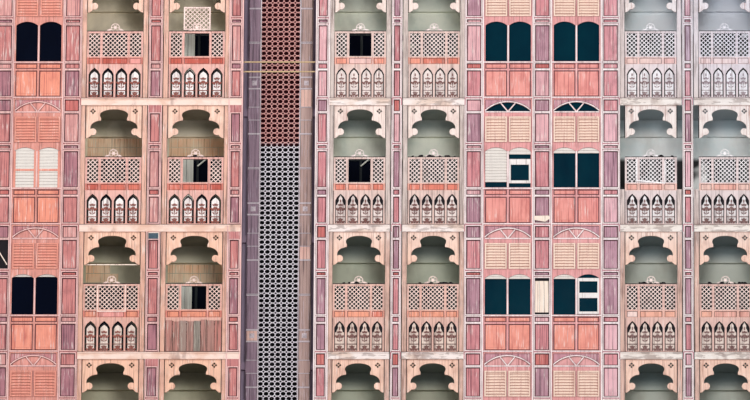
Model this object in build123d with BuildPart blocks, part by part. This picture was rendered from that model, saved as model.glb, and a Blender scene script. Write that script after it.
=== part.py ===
"""A timber mashrabiya screen front: four storeys and six bays of a loggia facade, in millimetres.

From left to right stand a window bay, a two-arch loggia, a recessed shaft behind openwork
blocks, a second two-arch loggia, a pair of window bays and a third two-arch loggia, with
panelled strips between them. +Z is up, the screen looks towards -Y, and the origin is the
middle of the footprint at ground level.
"""

import os
from math import cos, pi, sin

from build123d import *

os.makedirs("parts", exist_ok=True)

# Storeys and concrete
storeys = 4
storey_height = 3200
slab_thickness = 180
wall_thickness = 200
column_depth = 200
facade_depth = 1500

# Widths along the facade
wide_strip = 450
narrow_strip = 320
window_bay = 1200
wide_arch_bay = 1380
arch_bay = 1270
wide_mullion = 384
slim_mullion = 297
mullion_gap = 22
post_width = 108
shaft_width = 1776
claustra_width = 960
shaft_strip = 300

# Depths behind the front of the fascias
fascia_thickness = 60
fascia_lip = 15
fascia_lip_height = 40
strip_front = 15
pocket_depth = 20
post_front = 30
post_depth = 100
arch_front = 50
arch_thickness = 40
rail_front = 50
rail_thickness = 50
infill_front = 65
infill_thickness = 20
glass_thickness = 8
shaft_recess = 840
claustra_thickness = 60

# Heights above a storey's floor that the strips and the window bays share
bottom_rail = 40
lower_panel_top = 700
knee_panel_foot = 745
knee_panel_top = 880
sill_top = 935
window_spring = 1850
waist_panel_foot = 1915
waist_panel_top = 2000
louvre_foot = 2080
louvre_top = 2725
strip_panel_top = 2810
fanlight_foot = 2860

# Window bays
stile = 50
light_rise = 98
fanlight_rise = 230
fanlight_bar = 30
louvre_count = 9
louvre_proud = 14
louvre_back = 10
window_front = 20
window_thickness = 32
window_pocket = 16
glass_joint = 10

# Multifoil arch panels, with the cusps in fractions of the bay's width
# Their curves have few facets, because there are many of them
arch_panel_height = 825
crown_top = 732
crown_height = 280
crown_half_width = 0.248
neck_half_width = 0.228
lobe_reach = 0.22
lobe_half_width = 0.194
lobe_half_height = 185
lobe_line = 265
lobe_sides = 24
cusp_reach = 0.368
cusp_radius = 86
cusp_sides = 14
cusp_height = 160
foot_reach = 0.468
arch_gap = 18
piercing_reach = 0.37
piercing_height = 680
piercing_size = 104

# Balustrades
balustrade_height = 1710
balustrade_gap = 10
cap_rail = 47
lattice_foot = 1075
frieze_foot = 883
frieze_top = 1030
baluster_foot = 36
baluster_spring = 614
baluster_top = 785
balusters = 4
baluster_stile = 47
balustrade_border = 58
lattice_stile = 60
side_lattice = 0.197
side_lattice_holes = (1, 3)
middle_lattice_holes = (2, 3)
lattice_bar = 48
plate_gap = 22
finial_half_width = 52
finial_gap = 40

# Openwork blocks of the shaft
claustra_columns = 4
claustra_rows = 13
claustra_web = 62
claustra_cavity = 200
claustra_back = 100
shaft_panels = [(60, 470), (540, 760), (830, 1640), (1720, 2520), (2590, 2880)]

# Doors and beams at the back of the loggias
beam_height = 420
beam_depth = 100
door_width = 860
door_height = 2100
door_member = 60
door_thickness = 60
tie_bar_radius = 18
tie_bar_depth = 110
tie_bar_heights = (700, 945)

front_y = -facade_depth / 2
slab_front_y = front_y + fascia_thickness
rear_y = front_y + facade_depth
rear_wall_y = rear_y - wall_thickness
shaft_back_y = front_y + shaft_recess + claustra_thickness
clear_height = storey_height - slab_thickness
strip_thickness = fascia_thickness - strip_front


def loggia_width(bay, mullion):
    """Four posts, two arched bays and the mullion strip between them."""
    return 4 * post_width + 2 * bay + mullion


wide_loggia = loggia_width(wide_arch_bay, wide_mullion)
loggia = loggia_width(arch_bay, slim_mullion)

columns = [
    ("strip", wide_strip),
    ("window", window_bay),
    ("strip", wide_strip),
    ("wide loggia", wide_loggia),
    ("pier", narrow_strip),
    ("shaft", shaft_width),
    ("pier", narrow_strip),
    ("loggia", loggia),
    ("strip", wide_strip),
    ("window", window_bay),
    ("strip", wide_strip),
    ("window", window_bay),
    ("strip", wide_strip),
    ("loggia", loggia),
    ("strip", wide_strip),
]
facade_width = sum(width for kind, width in columns)

spans = []
edge = -facade_width / 2
for kind, width in columns:
    spans.append((kind, edge, edge + width))
    edge += width

strips = [(left, right) for kind, left, right in spans if kind == "strip"]
piers = [(left, right) for kind, left, right in spans if kind == "pier"]
windows = [(left + right) / 2 for kind, left, right in spans if kind == "window"]
shaft_left, shaft_right = next((a, b) for kind, a, b in spans if kind == "shaft")
shaft_middle = (shaft_left + shaft_right) / 2

# Each loggia: its left and right edge, the width of a bay, and its bays' centres
loggias = []
for kind, left, right in spans:
    if kind in ("wide loggia", "loggia"):
        bay = wide_arch_bay if kind == "wide loggia" else arch_bay
        mullion = wide_mullion if kind == "wide loggia" else slim_mullion
        centres = (left + post_width + bay / 2, right - post_width - bay / 2)
        loggias.append((left, right, bay, centres))
bays = [(x, bay) for left, right, bay, centres in loggias for x in centres]

# Bays, counted from the left, whose middle lattice is gone, by storey from the ground
missing_lattices = {1: [1], 2: [1, 2], 3: [1, 2]}
# Bays, counted from the left, whose posts have lost all above the knee rail, by storey
broken_posts = {2: [4, 5]}
post_knee = 890


def floor_level(storey):
    """The height of a storey's floor, with the ground storey as 0."""
    return storey * storey_height + slab_thickness


def facade_plane(depth):
    """A plane that looks out of the facade, that far behind the front of the fascias."""
    return Plane.XZ.offset(-(front_y + depth))


def block(left, right, foot, top, mode=Mode.ADD):
    """A rectangle between two edges and two heights of the sketch."""
    with Locations(((left + right) / 2, (foot + top) / 2)):
        Rectangle(right - left, top - foot, mode=mode)


def save(part, name):
    """Labels a finished piece and writes its file."""
    part.label = name
    export_step(part, f"parts/{name}.step")


def save_storeys(unit, name):
    """Writes one node for each storey from the ground storey's pieces."""
    for storey in range(storeys):
        with BuildPart() as node:
            with Locations((0, 0, storey * storey_height)):
                add(unit)
        save(node.part, f"{name}_storey_{storey + 1}")


def all_storeys(unit):
    """The ground storey's pieces and their copies above, as one node."""
    with BuildPart() as node:
        with Locations([(0, 0, storey * storey_height) for storey in range(storeys)]):
            add(unit)
    return node.part


# A ground slab as deep as the facade, and floor and roof slabs notched for the shaft
with BuildPart() as ground_slab:
    with BuildSketch(Plane.XY):
        block(-facade_width / 2, facade_width / 2, front_y, rear_y)
    extrude(amount=slab_thickness)
save(ground_slab.part, "ground_slab")

for name, levels in (("floor_slabs", range(1, storeys)), ("roof_slab", [storeys])):
    with BuildPart() as slab:
        with BuildSketch(*[Plane.XY.offset(level * storey_height) for level in levels]):
            block(-facade_width / 2, facade_width / 2, slab_front_y, rear_y)
            block(shaft_left, shaft_right, slab_front_y, shaft_back_y, mode=Mode.SUBTRACT)
        extrude(amount=slab_thickness)
    save(slab.part, name)


def wall_with_column(left, right, web_left):
    """The plan of a column as wide as its strip, with a wall running back from it."""
    block(left, right, slab_front_y, slab_front_y + column_depth)
    block(web_left, web_left + wall_thickness, slab_front_y, rear_wall_y)


# Party walls at the two ends
for name, (left, right), web_left in (
    ("party_wall_left", strips[0], strips[0][0]),
    ("party_wall_right", strips[-1], strips[-1][1] - wall_thickness),
):
    with BuildPart() as party_wall:
        with BuildSketch(Plane.XY.offset(slab_thickness)):
            wall_with_column(left, right, web_left)
        extrude(amount=clear_height)
    save(all_storeys(party_wall.part), name)

# Cross walls beside the loggias and between the windows
with BuildPart() as cross_wall_storey:
    with BuildSketch(Plane.XY.offset(slab_thickness)):
        for left, right in strips[1:-1]:
            beside_left = any(abs(left - span[1]) < 1 for span in loggias)
            beside_right = any(abs(right - span[0]) < 1 for span in loggias)
            web = (left + right - wall_thickness) / 2
            if beside_left:
                web = left
            if beside_right:
                web = right - wall_thickness
            wall_with_column(left, right, web)
        for left, right in piers:
            block(left, right, slab_front_y, rear_wall_y)
    extrude(amount=clear_height)
save(all_storeys(cross_wall_storey.part), "cross_walls")

# Rear walls, with a door behind each arched bay
with BuildPart() as rear_wall_storey:
    with BuildSketch(facade_plane(facade_depth)):
        block(-facade_width / 2, facade_width / 2, slab_thickness, floor_level(1) - slab_thickness)
        for x, bay in bays:
            block(
                x - door_width / 2,
                x + door_width / 2,
                slab_thickness,
                slab_thickness + door_height,
                mode=Mode.SUBTRACT,
            )
    extrude(amount=wall_thickness)
save(all_storeys(rear_wall_storey.part), "rear_walls")

# Beams under the ceiling at the back of the loggias
with BuildPart() as beam_storey:
    with BuildSketch(facade_plane(facade_depth - wall_thickness)):
        ceiling = slab_thickness + clear_height
        for left, right, bay, centres in loggias:
            block(left, right, ceiling - beam_height, ceiling)
    extrude(amount=beam_depth)
save(all_storeys(beam_storey.part), "loggia_back_beams")

# Metal door frames with a mullion, and the dark glass in them
door_depth = facade_depth - (wall_thickness - door_thickness) / 2
with BuildPart() as door_frame_storey:
    with BuildSketch(facade_plane(door_depth)):
        for x, bay in bays:
            foot, top = slab_thickness, slab_thickness + door_height
            block(x - door_width / 2, x + door_width / 2, foot, top)
            for side in (-1, 1):
                middle = x + side * (door_width - door_member) / 4
                half_light = (door_width - 3 * door_member) / 4
                block(
                    middle - half_light,
                    middle + half_light,
                    foot + door_member,
                    top - door_member,
                    mode=Mode.SUBTRACT,
                )
    extrude(amount=door_thickness)
save(all_storeys(door_frame_storey.part), "door_frames")

with BuildPart() as door_glass_storey:
    with BuildSketch(facade_plane(door_depth - (door_thickness - glass_thickness) / 2)):
        for x, bay in bays:
            for side in (-1, 1):
                middle = x + side * (door_width - door_member) / 4
                half_light = (door_width - 3 * door_member) / 4
                block(
                    middle - half_light,
                    middle + half_light,
                    slab_thickness + door_member,
                    slab_thickness + door_height - door_member,
                )
    extrude(amount=glass_thickness)
save(all_storeys(door_glass_storey.part), "door_glass")


# Fascias over the slab edges: the first runs on over the pier beside its loggia, and the
# others stop at the mullion
fascia_runs = [(loggias[0][0], piers[0][1])]
for left, right, bay, centres in loggias[1:]:
    run = 2 * post_width + bay
    fascia_runs += [(left, left + run), (right - run, right)]

with BuildPart() as fascia_level:
    for left, right in fascia_runs:
        with BuildSketch(Plane.YZ.offset(left)):
            block(front_y + fascia_lip, slab_front_y, 0, slab_thickness)
            block(front_y, slab_front_y, slab_thickness - fascia_lip_height, slab_thickness)
        extrude(amount=right - left)
with BuildPart() as fascias:
    with Locations([(0, 0, level * storey_height) for level in range(1, storeys + 1)]):
        add(fascia_level.part)
save(fascias.part, "fascias")

# Panelled strips. Those of window bays and slim mullions run on past the slab edge.
strip_panels = [
    (bottom_rail, lower_panel_top),
    (knee_panel_foot, knee_panel_top),
    (sill_top, window_spring),
    (waist_panel_foot, waist_panel_top),
    (louvre_foot, strip_panel_top),
]
frieze_panel = (fanlight_foot, storey_height - bottom_rail)


def mullion_edges(centres, bay):
    """The edges of the strip between a loggia's two arched bays, clear of the posts."""
    reach = bay / 2 + post_width + mullion_gap
    return centres[0] + reach, centres[1] - reach


full_strips = strips + [piers[1]] + [mullion_edges(row[3], row[2]) for row in loggias[1:]]
short_strips = [piers[0], mullion_edges(loggias[0][3], loggias[0][2])]

with BuildPart() as strip_storey:
    with BuildSketch(facade_plane(fascia_thickness)):
        for left, right in full_strips:
            block(left, right, slab_thickness, slab_thickness + storey_height)
        for left, right in short_strips:
            block(left, right, slab_thickness, slab_thickness + clear_height)
    extrude(amount=strip_thickness)
    with BuildSketch(facade_plane(strip_front)):
        for left, right in full_strips + short_strips:
            for foot, top in strip_panels:
                block(left + stile, right - stile, slab_thickness + foot, slab_thickness + top)
        for left, right in full_strips:
            foot, top = frieze_panel
            block(left + stile, right - stile, slab_thickness + foot, slab_thickness + top)
    extrude(amount=-pocket_depth, mode=Mode.SUBTRACT)
save_storeys(strip_storey.part, "panel_strips")

# Posts beside the arched bays, some broken off above the knee rail
with BuildPart() as posts:
    with BuildSketch(facade_plane(post_front + post_depth)):
        for storey in range(storeys):
            for number, (x, bay) in enumerate(bays):
                broken = number in broken_posts.get(storey, [])
                height = post_knee if broken else clear_height
                level = floor_level(storey)
                for side in (-1, 1):
                    middle = x + side * (bay + post_width) / 2
                    block(middle - post_width / 2, middle + post_width / 2, level, level + height)
    extrude(amount=post_depth)
save(posts.part, "posts")


def oval_hole(x, height, half_width, half_height, sides):
    """Cuts an ellipse with that many sides."""
    turns = [2 * pi * n / sides for n in range(sides)]
    with BuildLine() as rim:
        Polyline(*[(x + half_width * cos(t), height + half_height * sin(t)) for t in turns], close=True)
    make_face(rim.edges(), mode=Mode.SUBTRACT)


def arch_flare(x, foot, bay):
    """Cuts the throat below the lobes, which opens out to the feet of the panel."""
    shoulder = (x + cusp_reach * bay, foot + cusp_height)
    bend = (x + (0.4 * cusp_reach + 0.6 * foot_reach) * bay, foot + cusp_height * 0.2)
    toe = (x + foot_reach * bay, foot)
    mirrored = [(2 * x - point[0], point[1]) for point in (toe, bend, shoulder)]
    with BuildLine() as flare:
        ThreePointArc(shoulder, bend, toe)
        Line(toe, mirrored[0])
        ThreePointArc(*mirrored)
        Polyline(mirrored[2], (mirrored[2][0], foot + lobe_line), (shoulder[0], foot + lobe_line), shoulder)
    make_face(flare.edges(), mode=Mode.SUBTRACT)


def arch_panel(x, bay):
    """A panel pierced by a crown on a neck, two side lobes and a throat between round cusps."""
    foot = slab_thickness + clear_height - arch_panel_height
    crown_middle = foot + crown_top - crown_height / 2
    block(x - bay / 2 + arch_gap, x + bay / 2 - arch_gap, foot, foot + arch_panel_height)
    crown_end = crown_half_width * bay - crown_height / 2
    with Locations((x - crown_end, crown_middle), (x + crown_end, crown_middle)):
        RegularPolygon(crown_height / 2, lobe_sides, mode=Mode.SUBTRACT)
    block(
        x - crown_end,
        x + crown_end,
        crown_middle - crown_height / 2,
        crown_middle + crown_height / 2,
        mode=Mode.SUBTRACT,
    )
    neck = neck_half_width * bay
    block(x - neck, x + neck, foot + lobe_line, crown_middle, mode=Mode.SUBTRACT)
    for side in (-1, 1):
        lobe = x + side * lobe_reach * bay
        oval_hole(lobe, foot + lobe_line, lobe_half_width * bay, lobe_half_height, lobe_sides)
        with Locations((x + side * piercing_reach * bay, foot + piercing_height)):
            Rectangle(piercing_size, piercing_size, rotation=45, mode=Mode.SUBTRACT)
    arch_flare(x, foot, bay)
    with Locations(
        (x - cusp_reach * bay, foot + cusp_height), (x + cusp_reach * bay, foot + cusp_height)
    ):
        RegularPolygon(cusp_radius, cusp_sides)


with BuildPart() as arch_storey:
    for x, bay in bays:
        with BuildSketch(facade_plane(arch_front + arch_thickness)):
            arch_panel(x, bay)
        extrude(amount=arch_thickness)
save_storeys(arch_storey.part, "arch_panels")

# Window bays: frames with panelled aprons, arched lights, leaf openings and fanlights
half_bay = window_bay / 2
light_width = (window_bay - 3 * stile) / 2
light_reach = (light_width + stile) / 2
window_back = window_front + window_thickness


def arc_radius(half_chord, rise):
    """The radius of the arc with that half chord and rise."""
    return (half_chord**2 + rise**2) / (2 * rise)


def arched_light(x):
    """Cuts a light with a low segmental head."""
    left, right = x - light_width / 2, x + light_width / 2
    spring = slab_thickness + window_spring
    foot = slab_thickness + sill_top
    with BuildLine() as light:
        ThreePointArc((left, spring), (x, spring + light_rise), (right, spring))
        Polyline((right, spring), (right, foot), (left, foot), (left, spring))
    make_face(light.edges(), mode=Mode.SUBTRACT)


def fanlight(x, reach):
    """Cuts the segment under the fanlight's arch."""
    foot = slab_thickness + fanlight_foot
    with BuildLine() as segment:
        ThreePointArc((x - reach, foot), (x, foot + fanlight_rise), (x + reach, foot))
        Line((x + reach, foot), (x - reach, foot))
    make_face(segment.edges(), mode=Mode.SUBTRACT)


fanlight_reach = half_bay - stile
with BuildPart() as window_storey:
    with BuildSketch(facade_plane(window_back)):
        for x in windows:
            block(x - half_bay, x + half_bay, slab_thickness, slab_thickness + storey_height)
            for light in (x - light_reach, x + light_reach):
                arched_light(light)
                block(
                    light - light_width / 2,
                    light + light_width / 2,
                    slab_thickness + louvre_foot,
                    slab_thickness + louvre_top,
                    mode=Mode.SUBTRACT,
                )
            fanlight(x, fanlight_reach)
            for side in (-1, 1):
                with Locations((x + side * 100, slab_thickness + fanlight_foot + 120)):
                    Rectangle(fanlight_bar, 290, rotation=-side * 40)
    extrude(amount=window_thickness)
    for x in windows:
        with BuildSketch(facade_plane(window_front)):
            for light in (x - light_reach, x + light_reach):
                for foot, top in ((bottom_rail, lower_panel_top), (knee_panel_foot, knee_panel_top)):
                    block(
                        light - light_width / 2,
                        light + light_width / 2,
                        slab_thickness + foot,
                        slab_thickness + top,
                    )
            foot, top = frieze_panel
            block(
                x - fanlight_reach,
                x + fanlight_reach,
                slab_thickness + foot,
                slab_thickness + top,
            )
            radius = arc_radius(fanlight_reach, fanlight_rise)
            with Locations((x, slab_thickness + fanlight_foot + fanlight_rise - radius)):
                Circle(radius + fanlight_bar, mode=Mode.SUBTRACT)
        extrude(amount=-window_pocket, mode=Mode.SUBTRACT)
save_storeys(window_storey.part, "window_frames")

# One dark sheet closes each window bay in each storey
with BuildPart() as glass_storey:
    with BuildSketch(facade_plane(window_back + glass_thickness)):
        for x in windows:
            block(
                x - half_bay,
                x + half_bay,
                slab_thickness,
                slab_thickness + storey_height - glass_joint,
            )
    extrude(amount=glass_thickness)
save(all_storeys(glass_storey.part), "window_glass")


def louvred_leaf(x):
    """The saw-toothed section of a leaf's overlapping boards, as wide as its light."""
    pitch = (louvre_top - louvre_foot) / louvre_count
    back = front_y + window_back
    proud = front_y + window_front - louvre_proud
    tucked = front_y + window_front + louvre_back
    foot = slab_thickness + louvre_foot
    with BuildSketch(Plane.YZ.offset(x - light_width / 2)) as section:
        with BuildLine():
            steps = [(back, foot)]
            for board in range(louvre_count):
                steps += [
                    (proud, foot + board * pitch),
                    (tucked, foot + (board + 1) * pitch),
                ]
            steps += [(back, foot + louvre_count * pitch), (back, foot)]
            Polyline(*steps)
        make_face()
    extrude(section.sketch, amount=light_width)


with BuildPart() as louvre_storey:
    for x in windows:
        louvred_leaf(x - light_reach)
        louvred_leaf(x + light_reach)
save(all_storeys(louvre_storey.part), "louvred_leaves")

# Balustrades: a frame with pointed openings, a frieze of pockets and lattice panels above


def baluster_centres(x, bay):
    """The middles of the four pointed openings in a bay."""
    inner = bay - 2 * balustrade_border + baluster_stile
    return [x + inner * ((n + 0.5) / balusters - 0.5) for n in range(balusters)]


def baluster_half_width(bay):
    """Half the clear width of a pointed opening."""
    inner = bay - 2 * balustrade_border + baluster_stile
    return (inner / balusters - baluster_stile) / 2


def pointed_face(x, half, foot, spring, top, mode):
    """A pointed head on straight legs, in two straight runs a side."""
    bend_x, bend_z = half * 0.66, spring + (top - spring) * 0.52
    with BuildLine() as outline:
        Polyline(
            (x - half, spring),
            (x - half, foot),
            (x + half, foot),
            (x + half, spring),
            (x + bend_x, bend_z),
            (x, top),
            (x - bend_x, bend_z),
            (x - half, spring),
        )
    make_face(outline.edges(), mode=mode)


def lattice_spans(x, bay):
    """The left and right edges of a bay's three lattice panels."""
    outer = bay / 2 - balustrade_border
    side = side_lattice * bay
    inner = outer - side - lattice_stile
    return [(x - outer, x - outer + side), (x - inner, x + inner), (x + outer - side, x + outer)]


with BuildPart() as balustrade_storey:
    for x, bay in bays:
        with BuildSketch(facade_plane(rail_front + rail_thickness)):
            floor = slab_thickness
            reach = bay / 2 - balustrade_gap
            block(x - reach, x + reach, floor, floor + balustrade_height)
            for middle in baluster_centres(x, bay):
                pointed_face(
                    middle,
                    baluster_half_width(bay),
                    floor + baluster_foot,
                    floor + baluster_spring,
                    floor + baluster_top,
                    Mode.SUBTRACT,
                )
            for left, right in lattice_spans(x, bay):
                block(
                    left,
                    right,
                    floor + lattice_foot,
                    floor + balustrade_height - cap_rail,
                    mode=Mode.SUBTRACT,
                )
        extrude(amount=rail_thickness)
        with BuildSketch(facade_plane(rail_front)):
            for left, right in lattice_spans(x, bay):
                block(left, right, slab_thickness + frieze_foot, slab_thickness + frieze_top)
        extrude(amount=-pocket_depth, mode=Mode.SUBTRACT)
save_storeys(balustrade_storey.part, "balustrade_frames")

# Boards in the balustrades: plain points in the wide bays, and buds on shoulders elsewhere
with BuildPart() as board_storey:
    for x, bay in bays:
        half = baluster_half_width(bay)
        foot = slab_thickness + baluster_foot
        spring = slab_thickness + baluster_spring
        tip = slab_thickness + baluster_top - 2 * plate_gap
        with BuildSketch(facade_plane(infill_front + infill_thickness)):
            for middle in baluster_centres(x, bay):
                if bay == wide_arch_bay:
                    pointed_face(middle, half - plate_gap, foot, spring - plate_gap, tip, Mode.ADD)
                else:
                    block(middle - half, middle + half, foot, spring)
                    pointed_face(middle, finial_half_width, spring, spring + finial_gap, tip, Mode.ADD)
        extrude(amount=infill_thickness)
save_storeys(board_storey.part, "baluster_boards")


def diamond_hole(width, height):
    """One hole with its corners at the middles of its sides."""
    Polygon(
        (-width / 2, 0), (0, height / 2), (width / 2, 0), (0, -height / 2), mode=Mode.SUBTRACT
    )


def lattice_panel(left, right, across, rows):
    """A board cut through by a staggered grid of diamond holes."""
    foot, top = slab_thickness + lattice_foot, slab_thickness + balustrade_height - cap_rail
    block(left, right, foot, top)
    pitch_x, pitch_z = (right - left) / across, (top - foot) / rows
    hole_x, hole_z = pitch_x - lattice_bar * 2**0.5, pitch_z - lattice_bar * 2**0.5
    with Locations(((left + right) / 2, (foot + top) / 2)):
        with GridLocations(pitch_x, pitch_z, across, rows):
            diamond_hole(hole_x, hole_z)
        if across > 1:
            with GridLocations(pitch_x, pitch_z, across - 1, rows - 1):
                diamond_hole(hole_x, hole_z)


lattice_units = {}
for number, (x, bay) in enumerate(bays):
    for place, (left, right) in enumerate(lattice_spans(x, bay)):
        with BuildPart() as unit:
            with BuildSketch(facade_plane(infill_front + infill_thickness)):
                holes = middle_lattice_holes if place == 1 else side_lattice_holes
                lattice_panel(left, right, *holes)
            extrude(amount=infill_thickness)
        lattice_units[number, place] = unit.part

for storey in range(storeys):
    missing = missing_lattices.get(storey, [])
    with BuildPart() as lattice_node:
        with Locations((0, 0, storey * storey_height)):
            for (number, place), unit in lattice_units.items():
                if place != 1 or number not in missing:
                    add(unit)
    save(lattice_node.part, f"lattice_panels_storey_{storey + 1}")

# Shaft: a dark back wall, side piers and openwork blocks that stand back between the strips
with BuildPart() as shaft_wall:
    with BuildSketch(facade_plane(shaft_recess + claustra_thickness + claustra_cavity)):
        for storey in range(storeys):
            block(
                shaft_left,
                shaft_right,
                floor_level(storey),
                floor_level(storey) + clear_height,
            )
    extrude(amount=claustra_back)
save(shaft_wall.part, "shaft_back_wall")

claustra_left = shaft_middle - claustra_width / 2
claustra_right = shaft_middle + claustra_width / 2
top_level = storeys * storey_height + slab_thickness

with BuildPart() as shaft_piers:
    with BuildSketch(facade_plane(shaft_recess + claustra_thickness)):
        for left, right in (
            (claustra_left - shaft_strip, claustra_left),
            (claustra_right, claustra_right + shaft_strip),
        ):
            block(left, right, slab_thickness, top_level)
    extrude(amount=claustra_thickness)
    with BuildSketch(facade_plane(shaft_recess)):
        for storey in range(storeys):
            for middle in (claustra_left - shaft_strip / 2, claustra_right + shaft_strip / 2):
                for foot, top in shaft_panels:
                    level = floor_level(storey)
                    reach = shaft_strip / 2 - stile
                    block(middle - reach, middle + reach, level + foot, level + top)
    extrude(amount=-pocket_depth, mode=Mode.SUBTRACT)
save(shaft_piers.part, "shaft_piers")


def claustra_panel(foot, top):
    """Openwork blocks: square holes set on their corners between diagonal webs."""
    block(claustra_left, claustra_right, foot, top)
    pitch_x, pitch_z = claustra_width / claustra_columns, (top - foot) / claustra_rows
    hole_x, hole_z = pitch_x - claustra_web * 2**0.5, pitch_z - claustra_web * 2**0.5
    with Locations((shaft_middle, (foot + top) / 2)):
        with GridLocations(pitch_x, pitch_z, claustra_columns, claustra_rows):
            diamond_hole(hole_x, hole_z)
        with GridLocations(pitch_x, pitch_z, claustra_columns - 1, claustra_rows - 1):
            diamond_hole(hole_x, hole_z)


with BuildPart() as claustra_storey:
    with BuildSketch(facade_plane(shaft_recess + claustra_thickness)):
        claustra_panel(slab_thickness, slab_thickness + storey_height)
    extrude(amount=claustra_thickness)
save_storeys(claustra_storey.part, "shaft_screen")

# Round bars that tie the two sides of the shaft together
with BuildPart() as tie_bars:
    for height in tie_bar_heights:
        level = floor_level(storeys - 1) + height
        with BuildSketch(Plane.YZ.offset(shaft_left)):
            with Locations((front_y + tie_bar_depth, level)):
                RegularPolygon(tie_bar_radius, 8)
        extrude(amount=shaft_width)
save(tie_bars.part, "shaft_tie_bars")
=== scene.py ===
"""Looks of the mashrabiya screen: weathered paint, fine lattices, carved boards and blinds.

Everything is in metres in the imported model's frame. The facade looks towards -Y. Depths count from
the front of the fascias and heights of panels from the floor of their storey. Colours are sRGB.
"""

import math
import random

import bpy
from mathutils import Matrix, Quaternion, Vector


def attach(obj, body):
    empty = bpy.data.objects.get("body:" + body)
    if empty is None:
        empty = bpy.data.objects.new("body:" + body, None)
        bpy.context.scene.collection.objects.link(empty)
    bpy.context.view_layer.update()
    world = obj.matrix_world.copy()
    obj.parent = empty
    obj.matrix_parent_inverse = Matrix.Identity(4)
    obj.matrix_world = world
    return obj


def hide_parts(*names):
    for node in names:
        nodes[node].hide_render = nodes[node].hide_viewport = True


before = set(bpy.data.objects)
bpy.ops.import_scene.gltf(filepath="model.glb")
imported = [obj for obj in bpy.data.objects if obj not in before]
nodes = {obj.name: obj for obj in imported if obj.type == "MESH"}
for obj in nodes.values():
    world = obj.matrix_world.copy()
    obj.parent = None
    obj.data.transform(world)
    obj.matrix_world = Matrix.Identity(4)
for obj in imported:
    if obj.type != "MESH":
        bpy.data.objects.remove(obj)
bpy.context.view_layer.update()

# Sizes that the CAD model and the dressing share
STOREYS = 4
STOREY = 3.2
SLAB = 0.18
CLEAR = STOREY - SLAB
WIDE_STRIP = 0.45
NARROW_STRIP = 0.32
WINDOW_BAY = 1.2
WIDE_ARCH_BAY = 1.38
ARCH_BAY = 1.27
WIDE_MULLION = 0.384
SLIM_MULLION = 0.297
MULLION_GAP = 0.022
POST = 0.108
SHAFT = 1.776
CLAUSTRA = 0.96
DEPTH = 1.5
STILE = 0.05
FRONT = -DEPTH / 2
SHAFT_STRIP = 0.3
SHAFT_RECESS = 0.84

random.seed(7)


def loggia_width(bay, mullion):
    """Four posts, two bays and the mullion."""
    return 4 * POST + 2 * bay + mullion


WIDTHS = {
    "strip": WIDE_STRIP,
    "window": WINDOW_BAY,
    "wide": loggia_width(WIDE_ARCH_BAY, WIDE_MULLION),
    "pier": NARROW_STRIP,
    "shaft": SHAFT,
    "loggia": loggia_width(ARCH_BAY, SLIM_MULLION),
}
ORDER = "strip window strip wide pier shaft pier loggia strip window strip window strip loggia strip"
COLUMNS = ORDER.split()
SPANS = []
edge = -sum(WIDTHS[kind] for kind in COLUMNS) / 2
for kind in COLUMNS:
    SPANS.append((kind, edge, edge + WIDTHS[kind]))
    edge += WIDTHS[kind]

FLOORS = [storey * STOREY + SLAB for storey in range(STOREYS)]
WINDOWS = [(left + right) / 2 for kind, left, right in SPANS if kind == "window"]
SHAFT_LEFT, SHAFT_RIGHT = next((left, right) for kind, left, right in SPANS if kind == "shaft")
SHAFT_MIDDLE = (SHAFT_LEFT + SHAFT_RIGHT) / 2
BAYS = []
for kind, left, right in SPANS:
    if kind in ("wide", "loggia"):
        bay = WIDE_ARCH_BAY if kind == "wide" else ARCH_BAY
        BAYS += [(left + POST + bay / 2, bay), (right - POST - bay / 2, bay)]

# Camera, light and floor
VIEW_WIDTH = 18.05
VIEW_DISTANCE = 246.0
VIEW_PITCH = math.radians(17.6)
VIEW_YAW = math.radians(1.25)
VIEW_CENTRE = Vector((-0.2, FRONT, 7.19))
SENSOR = 36.0
SKY_LIGHT = (0.93, 0.95, 1.0, 1)
SKY_SEEN = (0.88, 0.88, 0.87, 1)
FLOOR_COLOUR = (0.8, 0.8, 0.79, 1)
FLOOR_REACH = 120


def add_camera():
    """A very long lens that looks up and a little to the left, as in the photograph."""
    data = bpy.data.cameras.new("camera")
    data.sensor_width = SENSOR
    data.lens = SENSOR * VIEW_DISTANCE / VIEW_WIDTH
    data.clip_end = 1000
    camera = bpy.data.objects.new("camera", data)
    bpy.context.scene.collection.objects.link(camera)
    level = math.cos(VIEW_PITCH)
    gaze = Vector((-math.sin(VIEW_YAW) * level, math.cos(VIEW_YAW) * level, math.sin(VIEW_PITCH)))
    camera.location = VIEW_CENTRE - gaze * VIEW_DISTANCE
    roll = math.asin(math.sin(VIEW_YAW) * math.sin(VIEW_PITCH))
    turn = gaze.to_track_quat("-Z", "Y") @ Quaternion((0, 0, 1), roll)
    camera.rotation_euler = turn.to_euler()
    bpy.context.scene.camera = camera


def add_light(name, place, target, power, size, colour=(1.0, 1.0, 1.0)):
    """A large soft lamp that faces a point."""
    data = bpy.data.lights.new(name, "AREA")
    data.shape = "DISK"
    data.size = size
    data.energy = power
    data.color = colour
    lamp = bpy.data.objects.new(name, data)
    lamp.location = place
    lamp.rotation_euler = (Vector(target) - Vector(place)).to_track_quat("-Z", "Y").to_euler()
    bpy.context.scene.collection.objects.link(lamp)


def plug(socket, value):
    """Feeds a node's input from another node's output or with a value."""
    if isinstance(value, bpy.types.NodeSocket):
        socket.id_data.links.new(value, socket)
    else:
        socket.default_value = value


def add_node(tree, kind, *values, **settings):
    """A new node with its settings and its first inputs."""
    node = tree.nodes.new("ShaderNode" + kind)
    for name, value in settings.items():
        setattr(node, name, value)
    for socket, value in zip(node.inputs, values):
        plug(socket, value)
    return node


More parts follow.
